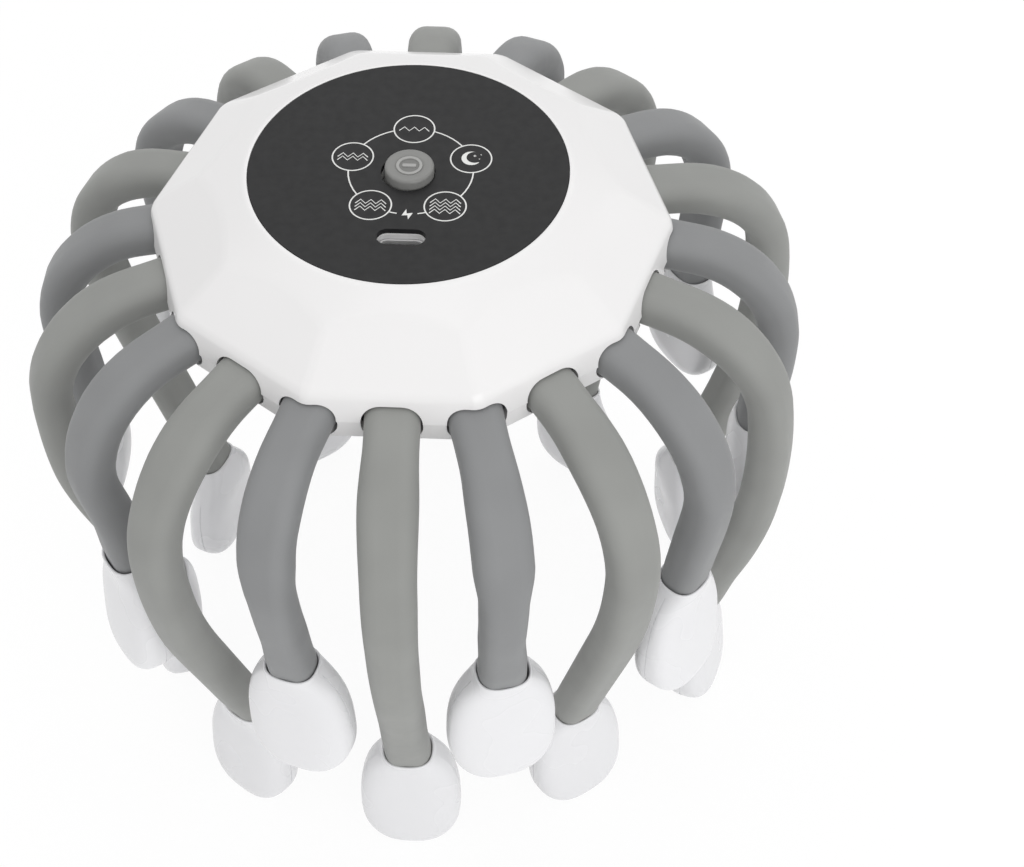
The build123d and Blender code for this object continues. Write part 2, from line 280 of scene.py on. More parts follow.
def noise(material, place, size, detail=2.0):
    """Noise with lumps of about the given size in metres."""
    node = material.node_tree.nodes.new("ShaderNodeTexNoise")
    node.inputs["Scale"].default_value = 1 / size
    node.inputs["Detail"].default_value = detail
    material.node_tree.links.new(place, node.inputs["Vector"])
    return node.outputs["Fac"]


noise_low, noise_high = 0.2, 0.8


def spread(material, source, low, high):
    """Maps the middle of a noise to a range of values or colours."""
    nodes, links = material.node_tree.nodes, material.node_tree.links
    if isinstance(low, tuple):
        node = nodes.new("ShaderNodeValToRGB")
        node.color_ramp.interpolation = "EASE"
        node.color_ramp.elements[0].position = noise_low
        node.color_ramp.elements[1].position = noise_high
        node.color_ramp.elements[0].color = low
        node.color_ramp.elements[1].color = high
        links.new(source, node.inputs["Fac"])
        return node.outputs["Color"]
    node = nodes.new("ShaderNodeMapRange")
    node.interpolation_type = "SMOOTHSTEP"
    for key, value in (("From Min", noise_low), ("From Max", noise_high), ("To Min", low), ("To Max", high)):
        node.inputs[key].default_value = value
    links.new(source, node.inputs["Value"])
    return node.outputs["Result"]


def relief(material, shader, layers):
    """Stacks bumps on the shader: each layer is a height and its depth in metres."""
    links = material.node_tree.links
    last = None
    for height, depth in layers:
        node = material.node_tree.nodes.new("ShaderNodeBump")
        node.inputs["Strength"].default_value = 1.0
        node.inputs["Distance"].default_value = depth
        links.new(height, node.inputs["Height"])
        if last:
            links.new(last, node.inputs["Normal"])
        last = node.outputs["Normal"]
    links.new(last, shader.inputs["Normal"])


def tinted(colour, factor):
    return tuple(min(1.0, value * factor) for value in colour[:3]) + (1,)


# %% Recipes for hard plastic and silicone


def gloss_white(name, colour, roughness):
    """White ABS: polished, with a trace of waviness from the mould."""
    material, shader, place = new_finish(name, colour, roughness, IOR=1.5, Specular_IOR_Level=0.5)
    links = material.node_tree.links
    cloud = noise(material, place, 0.03)
    links.new(spread(material, cloud, tinted(colour, 0.985), tinted(colour, 1.0)), shader.inputs["Base Color"])
    links.new(spread(material, noise(material, place, 0.012, 1), roughness * 0.95, roughness * 1.1),
              shader.inputs["Roughness"])
    relief(material, shader, [(noise(material, place, 0.009, 1), 0.00001)])
    return material


def silicone(name, colour):
    """Matt silicone: a dusty sheen, faint cloudiness and a powdery grain."""
    material, shader, place = new_finish(name, colour, 0.62, IOR=1.41, Sheen_Weight=0.12, Sheen_Roughness=0.5)
    links = material.node_tree.links
    cloud = noise(material, place, 0.012, 3)
    links.new(spread(material, cloud, tinted(colour, 0.95), tinted(colour, 1.04)), shader.inputs["Base Color"])
    links.new(spread(material, noise(material, place, 0.003, 4), 0.56, 0.7), shader.inputs["Roughness"])
    cloudy, powdery = noise(material, place, 0.007), noise(material, place, 0.00025)
    relief(material, shader, [(cloudy, 0.00006), (powdery, 0.000006)])
    return material


def plain_plastic(name, colour, roughness, grain=0.0004, depth=0.000004, **sockets):
    """Everyday moulded plastic with a fine grain."""
    material, shader, place = new_finish(name, colour, roughness, **sockets)
    links = material.node_tree.links
    links.new(spread(material, noise(material, place, 0.008, 3), tinted(colour, 0.94), tinted(colour, 1.05)),
              shader.inputs["Base Color"])
    links.new(spread(material, noise(material, place, 0.002, 4), roughness * 0.9, min(1.0, roughness * 1.15)),
              shader.inputs["Roughness"])
    relief(material, shader, [(noise(material, place, grain), depth)])
    return material


# %% The finishes of the massager
shell_white = gloss_white("Housing_white", linear(242, 241, 241), 0.2)
pad_white = gloss_white("Pad_white", linear(237, 237, 239), 0.26)
long_grey = silicone("Long_arm_grey", linear(149, 150, 147))
short_grey = silicone("Short_arm_grey", linear(140, 141, 142))
panel_dark = plain_plastic("Panel_dark", linear(27, 27, 28), 0.5, grain=0.0006, depth=0.000002,
                           Specular_IOR_Level=0.28)
button_grey = plain_plastic("Button_grey", linear(132, 132, 130), 0.36, Subsurface_Weight=0.1,
                            Subsurface_Radius=(0.001, 0.001, 0.001), Subsurface_Scale=1.0)
# painted highlight: the paler grey of the standby ring and bar stands in for the light on their raised relief
button_painted_highlight = plain_plastic("Button_painted_highlight", linear(164, 164, 162), 0.34)
# painted shade: the darker grey of the dish floor inside the symbol stands in for the shade in that recess
button_painted_shade = plain_plastic("Button_painted_shade", linear(122, 122, 120), 0.5)
ink_pale = plain_plastic("Ink_pale", linear(236, 236, 234), 0.55, depth=0.000002)
board_green = plain_plastic("Board_green", linear(34, 86, 52), 0.45)
chip_black = plain_plastic("Chip_black", linear(38, 38, 40), 0.6)
led_clear = plain_plastic("Lamp_clear", linear(235, 235, 215), 0.25, Transmission_Weight=0.3)
steel = plain_plastic("Screw_steel", linear(190, 190, 192), 0.3, Metallic=1.0)
socket_steel = plain_plastic("Socket_steel", linear(242, 242, 242), 0.36, Metallic=0.35)
tongue_black = plain_plastic("Tongue_black", linear(28, 28, 30), 0.5)
frame_grey = plain_plastic("Frame_grey", linear(205, 205, 205), 0.45)
cell_silver = plain_plastic("Cell_silver", linear(176, 178, 184), 0.34, Metallic=0.7)
foam_black = plain_plastic("Foam_black", linear(44, 44, 46), 0.95, grain=0.0005, depth=0.00006)
wire_red = plain_plastic("Wire_red", linear(178, 34, 30), 0.5)
print("finishes:", len(bpy.data.materials))

# %% [markdown]
# ## Parts from the frame
# The bowl, the panel and all that lies inside keep the form they have. Only their material slots change, so each
# one gets the finish of its real counterpart: green board, black chips, steel screws, a silver cell on foam.

# %% Dress the parts from the frame


def dress(finish, *names):
    """Gives a finish to parts of the frame."""
    for name in names:
        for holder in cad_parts[name].material_slots:
            holder.material = finish


dress(shell_white, "upper_shell", "lower_shell")
dress(panel_dark, "control_panel")
dress(frame_grey, "arm_ring", "switch_plunger")
dress(board_green, "circuit_board")
dress(chip_black, "board_chips", "tact_switch")
dress(led_clear, "indicator_leds")
dress(steel, "housing_screws", "board_screws")
dress(socket_steel, "socket_shell")
dress(tongue_black, "socket_tongue")
dress(cell_silver, "battery_cell")
dress(foam_black, "battery_foam")
dress(wire_red, "battery_wires")
print("the lower shell has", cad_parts["lower_shell"].material_slots[0].material.name)

# %% [markdown]
# ## The path of an arm
# Every arm comes from the same mould but has taken its own set. Its middle line leaves the hub wall, bends down
# over a shoulder, sweeps inwards and runs straight into its pad. The line is worked out from the same few
# values as the solid parts, so the soft skins stay on their joints.

# %% Path values, in millimetres below the panel top
arm_count = 20
arm_width = 10.9
arm_thickness = 8.2
arm_edge_round = 3.5
hinge_drop = 18.4
root_depth = 4.0
root_run = 6.3
grip_depth = 4.5
# slope, shoulder radius, sweep radius, lean, hinge radius
long_values = (10.0, 27.0, 120.0, 18.0, 50.8)
short_values = (12.0, 24.5, 120.0, 8.0, 52.3)
short_arm_length = 65.7
pad_width = 23.0
pad_height = 27.2
pad_corner = 10.0
collar_height = 5.0
arm_curl = [1.5, -9.5, 1, 4, 1, 3, 2, 4.5, 3, 8, 5.5, -0.5, 7, -0.5, 5.5, 2, 3.5, 4, 5, -8.5]
arm_sway = [-1.5, 3, 0, 0, 0, 0, 0, -1, 0, -1.5, 0.5, -2, 2.5, -0.5, 2.5, 0, -1.5, 1, -3, 2]
# from millimetres round the middle of the panel top to the frame
in_place = Matrix.Translation((0, 0, panel_top)) @ Matrix.Scale(mm, 4)


def kind_of(index):
    return "long" if index % 2 else "short"


def heading(slope):
    """Direction in the XZ plane that falls by an angle in degrees."""
    return Vector((math.cos(math.radians(slope)), 0, -math.sin(math.radians(slope))))


def settled_drop(sway):
    """Drop of a long arm's neck, before the arm is swung, that stands its pad on the floor."""
    turn = abs(math.radians(sway))
    corner = collar_height + pad_height - pad_corner
    lowest = corner * math.cos(turn) + (pad_width / 2 - pad_corner) * math.sin(turn) + pad_corner
    return hinge_drop + (panel_top / mm - lowest - hinge_drop) / math.cos(turn)


def arm_path(is_long, curl, sway, steps=12):
    """Points of the middle line of an arm from its root to its neck, and its length."""
    slope, shoulder, sweep, lean, hinge_radius = long_values if is_long else short_values
    hinge = Vector((hinge_radius, 0, -hinge_drop))
    points = [hinge - heading(slope) * root_depth, hinge + heading(slope) * root_run]
    length = root_depth + root_run
    for turn, radius in ((90 + curl - slope, shoulder), (lean - curl, sweep)):
        side = 1 if turn > 0 else -1
        centre = points[-1] + heading(slope + 90) * radius * side
        points += [centre - heading(slope + 90 + turn * k / steps) * radius * side for k in range(1, steps + 1)]
        length += radius * abs(math.radians(turn))
        slope += turn
    down = heading(90 + lean)
    run = short_arm_length + root_depth - length
    if is_long:
        run = (points[-1].z + settled_drop(sway)) / -down.z
    points += [points[-1] + down * run * k / steps for k in range(1, steps + 1)]
    return points, length + run


def placed(index, sway):
    """Matrix that swings an arm sideways about its root and turns it to its place round the hub."""
    swing = Matrix.Translation((0, 0, -hinge_drop)) @ Matrix.Rotation(math.radians(sway), 4, "X")
    swing = swing @ Matrix.Translation((0, 0, hinge_drop))
    turn = Matrix.Rotation(math.radians(index * 360 / arm_count), 4, "Z")
    return in_place @ turn @ swing


print("a long arm is", round(arm_path(True, 0, 0)[1], 1), "mm long, a short one", short_arm_length + root_depth)

# %% [markdown]
# ## Silicone arms
# An arm is one soft bar with rounded edges. A straight bar is modelled once: a box with its four long edges
# bevelled, cut into many short lengths so that it can bend, and made a little fuller or slimmer along its
# length. Each arm is a copy of it that a Curve modifier bends along its own path.

# %% The straight bar
sleeve_cuts = 63
# share of the length, width and thickness against the nominal ones: full below the shoulder, rounder lower down
bar_shapes = {
    "long": [(0.0, 1.0, 1.0), (0.07, 0.98, 1.0), (0.17, 1.07, 1.0), (0.3, 1.0, 1.02), (0.47, 0.94, 1.08),
             (0.65, 0.9, 1.1), (0.88, 0.91, 1.06), (0.955, 0.94, 1.02), (1.0, 0.96, 1.0)],
    "short": [(0.0, 1.0, 1.0), (0.12, 0.97, 1.0), (0.34, 1.05, 1.0), (0.46, 1.02, 1.04), (0.58, 0.89, 1.08),
              (0.73, 0.85, 1.1), (0.88, 0.88, 1.06), (0.93, 0.91, 1.02), (1.0, 0.94, 1.0)],
}


def between(stations, place):
    """Values at a share of the length, eased between the stations on both sides of it."""
    for before, after in zip(stations, stations[1:]):
        if place <= after[0] + 1e-6:
            share = (place - before[0]) / (after[0] - before[0])
            ease = share * share * (3 - 2 * share)
            return [a + (b - a) * ease for a, b in zip(before[1:], after[1:])]


def straight_bar(kind):
    """Bar of length 1 along X with rounded edges, shaped ring by ring."""
    clear_selection()
    bpy.ops.mesh.primitive_cube_add(size=1, location=(0.5, 0, 0), scale=(1, arm_width, arm_thickness))
    bar = added(f"Straight_bar_{kind}")
    open_piece(bar, "EDGE")
    pick(bar, "edges", lambda e: abs(e.verts[0].co.x - e.verts[1].co.x) > 0.5)
    bpy.ops.mesh.bevel(offset=arm_edge_round, segments=6, offset_type="OFFSET", clamp_overlap=True)
    pick(bar, "edges", lambda e: abs(e.verts[0].co.x - e.verts[1].co.x) > 0.5)
    bpy.ops.mesh.subdivide(number_cuts=sleeve_cuts)
    for k in range(sleeve_cuts + 2):
        place = k / (sleeve_cuts + 1)
        width, thickness = between(bar_shapes[kind], place)
        pick(bar, "verts", lambda v: abs(v.co.x - place) < 0.4 / (sleeve_cuts + 1))
        bpy.ops.transform.resize(value=(1, width, thickness), center_override=(place, 0, 0))
    close_piece()
    return bar


bars = {kind: straight_bar(kind) for kind in bar_shapes}
print("straight bars of", len(bars["long"].data.polygons), "faces")

# %% [markdown]
# ## The set of each arm
# Silicone keeps the shape it was stored in, so no two arms hang alike. Six arms have a wave of their own, and
# the others have only opened or closed at the shoulder. A guide curve through the moved middle line carries that
# set, and the Curve modifier bends a copy of the straight bar along it.

# %% How each arm has set
# at shares of the length: millimetres sideways and outwards, fullness
waves = {
    11: [(0.25, 0.0, -1.2, 1.0), (0.4, 0.0, -0.9, 1.0), (0.6, 0.0, 0.2, 1.0), (0.85, 0.0, 0.3, 1.0)],
    19: [(0.3, 0.7, -0.7, 1.0), (0.55, 0.4, -1.0, 1.0), (0.8, 0.0, -1.3, 1.0), (0.93, 0.0, -0.5, 1.0)],
    12: [(0.3, 0.0, -0.2, 1.0), (0.55, 0.0, -0.5, 1.0), (0.78, 0.0, -1.2, 1.0), (0.92, 0.0, -0.5, 1.0)],
    14: [(0.19, -0.3, 0.0, 1.01), (0.38, -0.3, 0.0, 1.0), (0.47, 0.05, 0.0, 0.99), (0.52, 0.5, 0.0, 0.97),
         (0.6, 0.95, 0.0, 0.94), (0.75, 0.75, 0.0, 0.95), (0.9, 0.2, 0.0, 0.98)],
    15: [(0.1, 0.25, 0.0, 1.0), (0.35, 0.7, 0.0, 1.0), (0.5, 0.6, 0.0, 1.0), (0.7, 0.4, 0.0, 1.0),
         (0.9, 0.0, 0.0, 1.0)],
    16: [(0.17, -0.45, 0.0, 0.99), (0.3, -0.7, 0.0, 1.02), (0.46, -0.95, 0.0, 1.06), (0.52, -1.2, 0.0, 1.01),
         (0.58, -1.25, 0.0, 0.99), (0.72, -1.15, 0.0, 0.99), (0.9, -0.3, 0.0, 1.0)],
}
# arms that have only opened or closed at the shoulder: millimetres sideways and outwards
shoulder_sets = {0: (0.0, -0.6), 1: (0.0, 1.5), 2: (0.0, 0.8), 3: (-0.6, 0.0), 4: (-0.5, 0.9), 5: (0.0, 1.0),
                 6: (-0.75, 0.3), 8: (0.0, -0.8), 9: (0.0, -1.0), 10: (0.0, -1.9), 13: (0.3, 0.0),
                 18: (-0.7, 0.0)}
for index, (sideways, outwards) in shoulder_sets.items():
    waves[index] = [(place, sideways * part, outwards * part, 1.0)
                    for place, part in ((0.3, 1.0), (0.5, 0.8), (0.75, 0.3))]
# the root and the neck stay where they are
arm_sets = {index: [(0.0, 0.0, 0.0, 1.0), *wave, (1.0, 0.0, 0.0, 1.0)] for index, wave in waves.items()}
print(len(arm_sets), "of", arm_count, "arms have a set")

# %% Bend a copy for each arm


def bent_arm(name, kind, path_points, length, arm_set):
    """A copy of the bar, as long as the path and bent along it, in millimetres."""
    line = bpy.data.curves.new(name + "_line", "CURVE")
    line.dimensions = "3D"
    line.twist_mode = "MINIMUM"
    spline = line.splines.new("POLY")
    spline.points.add(len(path_points) - 1)
    gone = 0.0
    for k, (point, place) in enumerate(zip(spline.points, path_points)):
        gone += (place - path_points[max(k - 1, 0)]).length
        sideways, outwards, fullness = between(arm_set, min(1.0, gone / length)) if arm_set else (0.0, 0.0, 1.0)
        point.co = (place.x + outwards, place.y + sideways, place.z, 1)
        point.radius = fullness
    guide = bpy.data.objects.new(name + "_line", line)
    bpy.context.scene.collection.objects.link(guide)
    arm = copy_piece(bars[kind], name)
    put(arm, Matrix.Diagonal((length, 1, 1, 1)))
    use_modifier(arm, "CURVE", object=guide, deform_axis="POS_X")
    bpy.data.objects.remove(guide)
    bpy.data.curves.remove(line)
    return arm


necks = {}
for index in range(arm_count):
    kind = kind_of(index)
    is_long = kind == "long"
    body = f"{kind}_arm_{index // 2 + 1}"
    curl, sway = arm_curl[index], arm_sway[index]
    points, length = arm_path(is_long, curl, sway)
    necks[index] = points[-1].copy()
    last = (points[-1] - points[-2]).normalized()
    points.append(points[-1] + last * grip_depth)
    arm = bent_arm(f"Sleeve_{body}", kind, points, length + grip_depth, arm_sets.get(index))
    put(arm, placed(index, sway))
    arm.data.materials.append(long_grey if is_long else short_grey)
    smooth(arm, 60)
    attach(arm, body)
    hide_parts(body)
for bar in bars.values():
    bpy.data.objects.remove(bar)
print("twenty arms bent; the deepest neck lies", -round(min(n.z for n in necks.values()), 1), "mm below the panel")

# %% [markdown]
# ## Cap of the hub
# The cap is a flat cone with ten planes cut off it. That leaves facets with arched upper edges and soft ridges
# between them. Ten steeper planes make the side wall, and a smaller body of the same form, taken out of the
# first, makes it a shell. Notches and holes are cut after the rounding, so that their edges stay crisp.

# %% Cut the cone into facets
hub_sides = 10
cone_points = 200
panel_radius, panel_thickness, panel_gap = 32.0, 1.2, 0.1
crown_radius, cone_slope = 33.0, 0.4
shell_wall = 2.0
crease_round, crown_round, bed_round = 1.3, 0.5, 0.12
crease_angle = 0.15            # in radians; the cone's own edges turn by less
# radius at the middle of a facet and drop below the panel: arch, shoulder and lower edge
arch, shoulder, wall_foot = (38.0, 2.0), (50.6, 11.6), (51.6, 17.8)


def cut_flats(high, low, wall):
    """Cuts ten flats off the open piece; each holds two (radius, drop) points, moved inwards by a wall."""
    normal = Vector((low[1] - high[1], 0, low[0] - high[0])).normalized()
    point = Vector((high[0], 0, -high[1])) - normal * wall
    for k in range(hub_sides):
        turn = Matrix.Rotation(math.radians((k + 0.5) * 360 / hub_sides), 3, "Z")
        bpy.ops.mesh.select_all(action="SELECT")
        bpy.ops.mesh.bisect(plane_co=turn @ point, plane_no=turn @ normal, use_fill=True, clear_outer=True)


def faceted_body(name, roof, foot, wall):
    """Cone between two drops, cut to facets and side walls, all moved inwards by a wall."""
    moved = wall / math.cos(math.atan(cone_slope))
    wide, narrow = (crown_radius + (drop - moved) / cone_slope for drop in (foot, roof))
    clear_selection()
    bpy.ops.mesh.primitive_cone_add(vertices=cone_points, radius1=wide, radius2=narrow, depth=foot - roof,
                                    location=(0, 0, -(foot + roof) / 2))
    piece = added(name)
    open_piece(piece)
    cut_flats(arch, shoulder, wall)
    cut_flats(shoulder, wall_foot, wall)
    close_piece()
    return piece


def crease(edge):
    """True for the edges between the facets, the cone and the side walls."""
    middle = (edge.verts[0].co + edge.verts[1].co) / 2
    outside = middle.z > 0.1 - wall_foot[1] and middle.xy.length > crown_radius + 1
    return outside and edge.calc_face_angle(0) > crease_angle


def ring_edge(radius, drop):
    """Test for the edges of a circle round the hub axis."""
    return lambda e: all(abs(v.co.xy.length - radius) < 0.05 and abs(v.co.z + drop) < 0.01 for v in e.verts)


cap = faceted_body("Hub_cap", 0, wall_foot[1], 0)
open_piece(cap)
pick(cap, "faces", lambda f: f.normal.z > 0.99)
bpy.ops.mesh.inset(thickness=crown_radius - panel_radius - panel_gap)
bpy.ops.mesh.extrude_region_move(TRANSFORM_OT_translate={"value": (0, 0, -panel_thickness)})
bpy.ops.mesh.select_mode(type="EDGE")
print("creases:", pick(cap, "edges", crease))
bpy.ops.mesh.bevel(offset=crease_round, segments=3, clamp_overlap=True)
print("crown edges:", pick(cap, "edges", ring_edge(crown_radius, 0)))
bpy.ops.mesh.bevel(offset=crown_round, segments=3, clamp_overlap=True)
pick(cap, "edges", ring_edge(panel_radius + panel_gap, 0))
bpy.ops.mesh.bevel(offset=bed_round, segments=2, clamp_overlap=True)
close_piece()

# %% [markdown]
# ## Notches and holes of the cap
# The mould leaves an open notch for each arm, a hole for the button and a slot for the charging plug. Each is a
# plain body in the shape of the gap, set where the arm or the button passes, and a Boolean modifier takes it out.

# %% Hollow the cap and cut the notches
notch_gap, notch_reach = 0.5, 8.0


def cut_away(piece, tool):
    """Takes a body out of the piece and deletes it."""
    use_modifier(piece, "BOOLEAN", object=tool, operation="DIFFERENCE", solver="EXACT")
    bpy.data.objects.remove(tool)


def rounded_bar(name, length, width, height, corner):
    """Bar along X with rounded long edges, at the origin."""
    clear_selection()
    bpy.ops.mesh.primitive_cube_add(size=1, scale=(length, width, height))
    bar = added(name)
    open_piece(bar, "EDGE")
    pick(bar, "edges", lambda e: abs(e.verts[0].co.x - e.verts[1].co.x) > length / 2)
    bpy.ops.mesh.bevel(offset=corner, segments=8, clamp_overlap=True)
    close_piece()
    return bar


cut_away(cap, faceted_body("Cap_hollow", panel_thickness + shell_wall, wall_foot[1] + 1, shell_wall))
for index in range(arm_count):
    values = long_values if index % 2 else short_values
    slope, hinge_radius = values[0], values[4]
    tool = rounded_bar("Notch", 2 * notch_reach, arm_width + 2 * notch_gap, arm_thickness + 2 * notch_gap,
                       arm_edge_round + notch_gap)
    at_hinge = Matrix.Translation((hinge_radius, 0, -hinge_drop)) @ Matrix.Rotation(math.radians(slope), 4, "Y")
    put(tool, in_place.inverted() @ placed(index, arm_sway[index]) @ at_hinge)
    cut_away(cap, tool)
print("cap with twenty notches:", len(cap.data.polygons), "faces")

# %% Cut the button hole and the slot, then finish the cap
button_hole_radius, button_hole_offset = 5.45, 1.0
slot_length, slot_width, slot_corner, slot_offset = 9.38, 3.7, 1.84, 19.3
hole_depth = 8.0
clear_selection()
bpy.ops.mesh.primitive_cylinder_add(vertices=72, radius=button_hole_radius, depth=hole_depth,
                                    location=(0, -button_hole_offset, 0))
cut_away(cap, added("Button_hole"))
slot = rounded_bar("Socket_slot", hole_depth, slot_width, slot_length, slot_corner)
put(slot, Matrix.Translation((0, -slot_offset, 0)) @ Matrix.Rotation(math.radians(90), 4, "Y"))
cut_away(cap, slot)
put(cap, in_place)
cap.data.materials.clear()
cap.data.materials.append(shell_white)
smooth(cap, 35)
use_modifier(cap, "WEIGHTED_NORMAL", mode="FACE_AREA", keep_sharp=True)
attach(cap, "hub")
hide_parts("upper_shell")
print("finished cap:", len(cap.data.polygons), "faces")

# %% [markdown]
# ## Head pads
# A pad is a flat bell: a collar that grips the arm, a flare, and a broad body with a nearly flat outer face. A
# circle is drawn out ring by ring, from the floor of the bore up over the lip and down to the tip. Each ring
# gets its own place, size, tilt and squareness, and the whole is then subdivided smooth. The line where the two
# halves meet runs along one row of edges, which is marked first and cut in as a groove last.

# %% How a ring of the pad is shaped
outer_depth = 7.2
inner_depth = 5.6
outer_tilt = 7.0
collar_wall = 0.7
collar_gap = 0.05
ring_points = 24
pen = {"tilt": 0.0, "square": 2.0, "shift": 0.0, "started": False}


def corner_reach(square, degrees):
    """Reach of a rounded outline at an angle against that of a circle, which has squareness 2."""
    a = math.radians(degrees)
    return (abs(math.cos(a)) ** square + abs(math.sin(a)) ** square) ** (-1 / square)


def ring_angle(place, middle, reach_x, reach_y):
    """Angle of a ring point from the X axis in a quarter of the ring, from 0 to 90."""
    return math.degrees(math.atan2(abs(place.y - middle.y) / reach_y, abs(place.x - middle.x) / reach_x))


def tip(angle, middle):
    """Tilts what is picked about the Y axis; with no window the operator turns the other way."""
    bpy.ops.transform.rotate(value=-math.radians(angle), orient_axis="Y", center_override=middle)


def middle_and_reach(pad):
    """Middle and half size of the picked ring."""
    places = [v.co.copy() for v in bmesh.from_edit_mesh(pad.data).verts if v.select]
    low, high = (Vector([edge(c[i] for c in places) for i in range(3)]) for edge in (min, max))
    return (low + high) / 2, (high - low) / 2


def slide_seam(pad, ring, distance):
    """Slides the two side points of a ring along X, so that they lie on the parting plane."""
    middle, reach = middle_and_reach(pad)
    pick(pad, "verts", lambda v: v.index in ring and abs(v.co.y - middle.y) > reach.y * 0.999)
    bpy.ops.transform.translate(value=(distance, 0, 0))
    pick(pad, "verts", lambda v: v.index in ring)


def draw_ring(pad, drop, front, back, half, square=2.0, tilt=0.0):
    """Draws the last ring out to a new drop, with its reach to the front, back and sides, its shape and tilt."""
    if pen["started"]:
        bpy.ops.mesh.extrude_edges_move(TRANSFORM_OT_translate={"value": (0, 0, 0)})
    ring = {v.index for v in bmesh.from_edit_mesh(pad.data).verts if v.select}
    if pen["started"]:
        tip(-pen["tilt"], middle_and_reach(pad)[0])
        slide_seam(pad, ring, -pen["shift"])
    middle, reach = middle_and_reach(pad)
    scale = ((front + back) / 2 / reach.x, half / reach.y, 1)
    bpy.ops.transform.resize(value=scale, center_override=middle)
    target = Vector(((front - back) / 2, 0, -drop))
    bpy.ops.transform.translate(value=target - middle)
    for degrees in (15, 30, 45):
        part = corner_reach(square, degrees) / corner_reach(pen["square"], degrees)
        pick(pad, "verts", lambda v: v.index in ring
             and abs(45 - abs(45 - ring_angle(v.co, target, (front + back) / 2, half)) - degrees) < 5)
        bpy.ops.transform.resize(value=(part, part, 1), center_override=target)
    pick(pad, "verts", lambda v: v.index in ring)
    slide_seam(pad, ring, -target.x)
    tip(tilt, target)
    pen.update(tilt=tilt, square=square, shift=-target.x, started=True)


# %% Sizes of the rings
full_drop = collar_height + pad_height


def face_reach(drop):
    """How far the outer face lies from the parting plane at a drop below the neck."""
    return outer_depth - (full_drop - drop) * math.tan(math.radians(outer_tilt))


def outline_half(drop):
    """Half the width of the pad's rounded outline at a drop near its lower end."""
    soft = pad_corner - 0.4
    low = max(0.0, drop - (full_drop - soft))
    return pad_width / 2 - soft + math.sqrt(max(0.0, soft ** 2 - low ** 2))


bore_x, bore_y = arm_thickness / 2 + collar_gap, arm_width * 0.96 / 2 + collar_gap
lip_x, lip_y = bore_x + collar_wall, bore_y + collar_wall
bore_end = grip_depth + 0.3
# drop, size against the bore in x and y, squareness
bore_rings = ((bore_end, -bore_x * 0.7, -bore_y * 0.7, 2.6), (bore_end, -0.6, -0.6, 2.6),
              (bore_end - 0.3, 0, 0, 2.8), (0.9, 0, 0, 2.8), (0.3, 0.03, 0.03, 2.8), (0.02, 0.2, 0.2, 2.8),
              (0.0, 0.48, 0.48, 2.8), (0.22, 0.67, 0.67, 2.8), (0.8, 0.7, 0.7, 2.8))
# drop, share of the way from the collar to the body for front, back and width, squareness
flare_rings = ((1.9, 0.06, 0.02, 0.1, 2.9), (3.6, 0.22, 0.08, 0.31, 2.9), (5.6, 0.48, 0.26, 0.54, 2.9),
               (8.0, 0.76, 0.5, 0.73, 3.0), (11.0, 0.94, 0.8, 0.88, 3.2), (14.5, 1.0, 0.97, 0.97, 3.4))
# drop, how far the front and the back have come in towards the tip
body_rings = ((18.8, 0.0, 0.0), (22.5, 0.0, 0.1), (25.8, 0.0, 0.5), (28.4, 0.15, 1.2), (30.2, 0.6, 2.1),
              (31.3, 1.3, 3.0), (31.9, 2.2, 3.9))
# the last two rings: front and back as above, half the width, squareness
tip_rings = ((4.2, 4.8, 1.6, 2.4), (5.6, 5.2, 0.6, 2.0))
print("a pad has", len(bore_rings + flare_rings + body_rings + tip_rings), "rings and is", full_drop, "mm high")

# %% Draw the pad out, from the bore to the tip


def close_end():
    """Draws the picked ring together to a point."""
    bpy.ops.mesh.extrude_edges_move(TRANSFORM_OT_translate={"value": (0, 0, 0)})
    bpy.ops.mesh.merge(type="CENTER")


def parting_edge(edge):
    """True for the edges on the parting plane, outside the collar or near the tip."""
    places = [v.co for v in edge.verts]
    return all(abs(p.x) < 0.01 for p in places) and (
        all(abs(p.y) > bore_y + 0.9 for p in places) or all(p.z < -20 for p in places))


def draw_pad(lean):
    """The skin of a pad for an arm that comes in at a lean, in degrees from upright, neck at the origin."""
    clear_selection()
    bpy.ops.mesh.primitive_circle_add(vertices=ring_points, radius=1)
    pad = added("Pad_master")
    open_piece(pad, "VERT")
    bpy.ops.mesh.select_all(action="SELECT")
    pen.update(tilt=0.0, square=2.0, shift=0.0, started=False)
    slope = math.tan(math.radians(lean))
    for drop, grow_x, grow_y, square in bore_rings:
        draw_ring(pad, drop, bore_x + grow_x - slope * drop, bore_x + grow_x + slope * drop, bore_y + grow_y,
                  square, lean)
    for drop, share, late, wide, square in flare_rings:
        front = (lip_x - slope * drop) * (1 - share) + face_reach(drop) * share
        back = (lip_x + slope * drop) * (1 - late) + inner_depth * late
        half = lip_y * (1 - wide) + pad_width / 2 * wide
        draw_ring(pad, drop, front, back, half, square, lean * (1 - wide))
    for drop, front_in, back_in in body_rings:
        draw_ring(pad, drop, face_reach(drop) - front_in, inner_depth - back_in, outline_half(drop), 3.2)
    for front_in, back_in, half, square in tip_rings:
        draw_ring(pad, full_drop, face_reach(full_drop) - front_in, inner_depth - back_in, half, square)
    close_end()
    pick(pad, "edges", lambda e: e.is_boundary)
    close_end()
    pick(pad, "edges", parting_edge)
    bpy.ops.mesh.mark_seam()
    bpy.ops.mesh.select_all(action="SELECT")
    bpy.ops.mesh.normals_make_consistent(inside=False)
    close_piece()
    use_modifier(pad, "SUBSURF", levels=2, render_levels=2)
    return pad


# %% [markdown]
# ## Parting groove
# The two halves of a real pad snap together and leave a hairline all round. The marked row of edges is opened to
# a narrow strip with a bevel, and the strip is sunk along its normals, so the line stays sharp in any light.

# %% Cut the parting groove
seam_width = 0.2
seam_depth = 0.16


